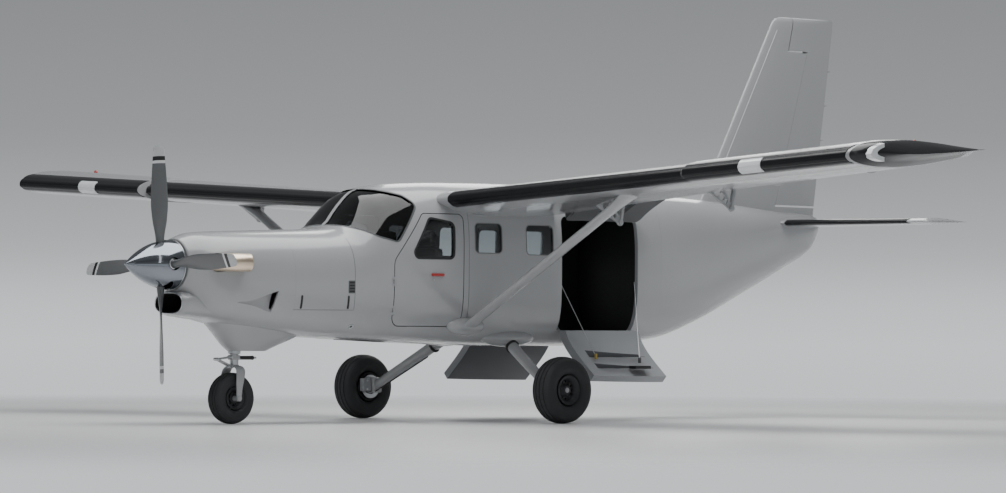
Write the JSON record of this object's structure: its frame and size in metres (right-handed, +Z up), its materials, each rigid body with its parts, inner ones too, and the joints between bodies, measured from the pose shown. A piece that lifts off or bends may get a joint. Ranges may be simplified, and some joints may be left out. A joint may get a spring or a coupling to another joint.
{
  "type": "bush plane",
  "caption": "High-wing strut-braced turboprop bush plane on fixed tricycle gear, with split rear doors whose lower halves are airstairs",
  "frame": {"origin": "on the floor under the middle of the overall length, in the middle plane", "axes": "+X to the port side, -Y to the nose, +Z up"},
  "size_m": [13.72, 10.41, 4.6],
  "materials": {
    "white_paint": "gloss white paint",
    "glass": "dark tinted",
    "tyre": "matt black rubber",
    "rim": "dark painted casting",
    "blade": "satin grey with banded tips",
    "polished": "polished metal",
    "exhaust": "heat-tinted steel",
    "engine": "plain",
    "interior": "dark trim",
    "stair": "grey paint"
  },
  "bodies": {
    "airframe": {"cabin_shell": "white_paint", "cabin_floor": "interior", "engine_cowling": "white_paint", "engine_block": "engine", "exhaust_left": "exhaust", "exhaust_right": "exhaust", "windscreen_left": "glass", "windscreen_right": "glass", "window_1_left": "glass", "window_1_right": "glass", "window_2_left": "glass", "window_2_right": "glass", "crew_seat_left": "interior", "crew_seat_right": "interior", "instrument_panel": "interior", "wing_left": "white_paint", "wing_right": "white_paint", "wing_strut_left": "white_paint", "wing_strut_right": "white_paint", "tail_cone": "white_paint", "fin": "white_paint", "tailplane_left": "white_paint", "tailplane_right": "white_paint", "main_gear_leg_left": "white_paint", "main_gear_leg_right": "white_paint", "nose_gear_strut": "white_paint", "nose_gear_fairing": "white_paint"},
    "propeller": {"spinner": "polished", "propeller_hub": "engine", "propeller_blade_1": "blade", "propeller_blade_2": "blade", "propeller_blade_3": "blade", "propeller_blade_4": "blade"},
    "nose_fork": {"nose_fork": "white_paint", "steering_damper": "interior"},
    "nose_wheel": {"nose_wheel_tyre": "tyre", "nose_wheel_rim": "rim"},
    "rudder": {"rudder": "white_paint"},
    "elevator": {"elevator_left": "white_paint", "elevator_right": "white_paint"},
    "main_wheel_left": {"main_wheel_left_tyre": "tyre", "main_wheel_left_rim": "rim"},
    "crew_door_left": {"crew_door_left": "white_paint", "crew_door_window_left": "glass"},
    "rear_upper_door_left": {"rear_upper_door_left": "white_paint", "rear_door_window_left": "glass"},
    "airstair_left": {"airstair_left": "stair"},
    "aileron_left": {"aileron_left": "white_paint"},
    "flap_left": {"flap_left": "white_paint"},
    "main_wheel_right": {"main_wheel_right_tyre": "tyre", "main_wheel_right_rim": "rim"},
    "crew_door_right": {"crew_door_right": "white_paint", "crew_door_window_right": "glass"},
    "rear_upper_door_right": {"rear_upper_door_right": "white_paint", "rear_door_window_right": "glass", "rear_door_front_window_right": "glass"},
    "airstair_right": {"airstair_right": "stair"},
    "aileron_right": {"aileron_right": "white_paint"},
    "flap_right": {"flap_right": "white_paint"}
  },
  "joints": [
    {"name": "propeller_spin", "type": "hinge", "parent": "airframe", "child": "propeller", "pos_m": [0, -4.74, 1.63], "axis": [0, 1, 0], "continuous": true},
    {"name": "nose_steering", "type": "hinge", "parent": "airframe", "child": "nose_fork", "pos_m": [0, -3.765, 0.7], "axis": [0, 0, 1], "range_deg": [-50, 50]},
    {"name": "nose_wheel_spin", "type": "hinge", "parent": "nose_fork", "child": "nose_wheel", "pos_m": [0, -3.805, 0.265], "axis": [1, 0, 0], "continuous": true},
    {"name": "rudder_hinge", "type": "hinge", "parent": "airframe", "child": "rudder", "pos_m": [0, 4.483, 3.275], "axis": [0, 0.2919, 0.9565], "range_deg": [-25, 25]},
    {"name": "elevator_hinge", "type": "hinge", "parent": "airframe", "child": "elevator", "pos_m": [0, 4.625, 2.215], "axis": [1, 0, 0], "range_deg": [-15, 25]},
    {"name": "main_wheel_left_spin", "type": "hinge", "parent": "airframe", "child": "main_wheel_left", "pos_m": [1.6, -0.625, 0.352], "axis": [1, 0, 0], "continuous": true},
    {"name": "crew_door_left_hinge", "type": "hinge", "parent": "airframe", "child": "crew_door_left", "pos_m": [0.69011, -2.175, 1.33], "axis": [-0.0753, 0, -0.9972], "range_deg": [0, 85]},
    {"name": "rear_upper_door_left_hinge", "type": "hinge", "parent": "airframe", "child": "rear_upper_door_left", "pos_m": [0.69176, 0.775, 2.215], "axis": [0.024, -0.9997, 0], "range_deg": [-115, 0]},
    {"name": "airstair_left_hinge", "type": "hinge", "parent": "airframe", "child": "airstair_left", "pos_m": [0.63052, 0.775, 0.97], "axis": [-0.0335, 0.9994, 0], "range_deg": [-131, 0]},
    {"name": "aileron_left_hinge", "type": "hinge", "parent": "airframe", "child": "aileron_left", "pos_m": [5.31, -0.3162, 2.59957], "axis": [0.9972, 0, 0.0743], "range_deg": [-20, 20]},
    {"name": "flap_left_hinge", "type": "hinge", "parent": "airframe", "child": "flap_left", "pos_m": [2.49856, -0.3162, 2.13954], "axis": [-0.9972, 0, -0.0743], "range_deg": [0, 35]},
    {"name": "main_wheel_right_spin", "type": "hinge", "parent": "airframe", "child": "main_wheel_right", "pos_m": [-1.6, -0.625, 0.352], "axis": [1, 0, 0], "continuous": true},
    {"name": "crew_door_right_hinge", "type": "hinge", "parent": "airframe", "child": "crew_door_right", "pos_m": [-0.69011, -2.175, 1.33], "axis": [-0.0753, 0, 0.9972], "range_deg": [0, 85]},
    {"name": "rear_upper_door_right_hinge", "type": "hinge", "parent": "airframe", "child": "rear_upper_door_right", "pos_m": [-0.69176, 0.775, 2.215], "axis": [0.024, 0.9997, 0], "range_deg": [0, 115]},
    {"name": "airstair_right_hinge", "type": "hinge", "parent": "airframe", "child": "airstair_right", "pos_m": [-0.63052, 0.775, 0.97], "axis": [-0.0335, -0.9994, 0], "range_deg": [-131, 0]},
    {"name": "aileron_right_hinge", "type": "hinge", "parent": "airframe", "child": "aileron_right", "pos_m": [-5.31, -0.3162, 2.59957], "axis": [0.9972, 0, -0.0743], "range_deg": [-20, 20]},
    {"name": "flap_right_hinge", "type": "hinge", "parent": "airframe", "child": "flap_right", "pos_m": [-2.49856, -0.3162, 2.13954], "axis": [-0.9972, 0, 0.0743], "range_deg": [0, 35]}
  ]
}
